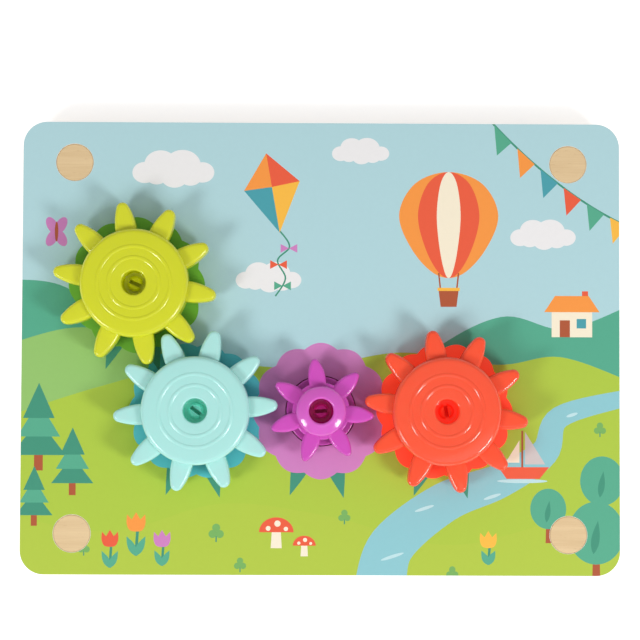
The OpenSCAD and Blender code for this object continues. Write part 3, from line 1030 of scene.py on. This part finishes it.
for colour in PHASES:
    sizes, profile = (SMALL, small_profile()) if colour == "purple" else (LARGE, large_profile())
    made = gear(colour, sizes, profile)
    print(made.name, len(made.data.polygons), "faces")

# %% [markdown]
# ## A white studio
#
# Such a toy is shown on plain white. A bare white world would do, but then the board would throw no
# shadow and float. So a floor and a low wall far behind it are matt white and glow a little towards
# the camera, which carries them to plain white and still leaves the shadow under the board. Their
# outer side is clear, so that a camera put under the floor still sees the feet and the screws.

# %% Floor and wall
STAGE_R = 12
WALL_H = 2.8
FLOOR_GLOW = 0.55


def cove(mesh):
    """A round floor with an upright wall at its far edge."""
    bmesh.ops.create_circle(mesh, cap_ends=True, radius=STAGE_R, segments=64)
    rim = [edge for edge in mesh.edges if edge.is_boundary]
    raised = bmesh.ops.extrude_edge_only(mesh, edges=rim)["geom"]
    top = [g for g in raised if isinstance(g, bmesh.types.BMVert)]
    bmesh.ops.translate(mesh, vec=(0, 0, WALL_H), verts=top)


def studio():
    """The floor and wall, with a shader that tells camera rays from the light's own."""
    recipe = Recipe("studio_floor")
    recipe.into(Base_Color=srgb(244, 244, 244), Roughness=0.95)
    path = recipe.node("ShaderNodeLightPath").outputs
    seen = recipe.math("ADD", path["Is Camera Ray"], path["Is Glossy Ray"])
    seen = recipe.math("ADD", seen, path["Is Transmission Ray"])
    glow = recipe.node("ShaderNodeEmission", {"Strength": recipe.math("MULTIPLY", seen, FLOOR_GLOW)})
    both = recipe.node("ShaderNodeAddShader", {0: recipe.shader.outputs[0], 1: glow.outputs[0]})
    below = recipe.node("ShaderNodeNewGeometry").outputs["Backfacing"]
    clear = recipe.node("ShaderNodeBsdfTransparent").outputs[0]
    sided = recipe.node("ShaderNodeMixShader", {0: below, 1: both.outputs[0], 2: clear})
    recipe.tree.links.new(sided.outputs[0], recipe.tree.nodes["Material Output"].inputs["Surface"])
    stage = mesh_object("studio_floor", cove)
    ground = max(stage.data.polygons, key=lambda face: face.area)
    if ground.normal.z < 0:
        stage.data.flip_normals()
    stage.data.materials.append(recipe.material)
    return stage


print("floor and wall of", len(studio().data.polygons), "faces")

# %% [markdown]
# ## Lights
#
# The board is lit from both sides. Two soft boxes stand at the lower left and the lower right. They
# could be as large as walls, but then the gloss would show only a haze, so each is about the size of
# a window seen from across a room and leaves a small crisp highlight. A weak panel in front and an
# even world fill the shadows. Gloss sees the world dimmer than matt surfaces do, as in a dark room
# with two lamps: an even white room would lay a grey veil over the deep colours.

# %% Lights
WORLD_LIGHT = 0.50
WORLD_IN_GLOSS = 0.15


def soft_box(name, place, width, height, power):
    """A rectangular lamp that faces the middle of the board."""
    data = bpy.data.lights.new(name, "AREA")
    data.shape = "RECTANGLE"
    data.size, data.size_y, data.energy = width, height, power
    lamp = bpy.data.objects.new(name, data)
    bpy.context.scene.collection.objects.link(lamp)
    lamp.location = place
    lamp.rotation_euler = (Vector((0, 0, FACE_Z)) - lamp.location).to_track_quat("-Z", "Y").to_euler()


soft_box("box_left", Vector((-0.80, -0.60, 0.85)), 0.31, 0.30, 5.8)
soft_box("box_right", Vector((0.80, -0.60, 0.85)), 0.31, 0.30, 7.0)
soft_box("panel_front", Vector((0.25, -0.50, 1.25)), 0.8, 0.5, 1.0)
world = bpy.data.worlds.new("studio_world")
bpy.context.scene.world = world
world.use_nodes = True
nodes, links = world.node_tree.nodes, world.node_tree.links
dim = nodes.new("ShaderNodeMapRange")
dim.inputs["To Min"].default_value = WORLD_LIGHT
dim.inputs["To Max"].default_value = WORLD_IN_GLOSS
links.new(nodes.new("ShaderNodeLightPath").outputs["Is Glossy Ray"], dim.inputs["Value"])
links.new(dim.outputs["Result"], nodes["Background"].inputs["Strength"])
nodes["Background"].inputs["Color"].default_value = (1, 1, 1, 1)
bpy.context.scene.view_settings.view_transform = "Standard"
print("lamps", len(bpy.data.lights))

# %% [markdown]
# ## Camera
#
# The toy is seen from a metre above the board, very nearly straight down. A view without perspective
# would be simpler, but from this near the hubs lean outwards a little and a well shows more of one
# wall than of the other, and that is how depth is read from above. The lens just holds the board.

# %% Camera
CAMERA_HEIGHT = 1.0
camera_data = bpy.data.cameras.new("camera")
camera_data.sensor_width = 36
camera_data.lens = 112.2
camera = bpy.data.objects.new("camera", camera_data)
bpy.context.scene.collection.objects.link(camera)
camera.location = (-0.010, -0.028, FACE_Z + CAMERA_HEIGHT)
camera.rotation_euler = (math.radians(2.41), math.radians(-0.55), math.radians(0.22))
bpy.context.scene.camera = camera
print("camera at", [round(v, 3) for v in camera.location])

# %% [markdown]
# ## Finish
#
# The dressed model must keep the frame's size. Here the view layer is only brought up to date.

# %% Finish
bpy.context.view_layer.update()
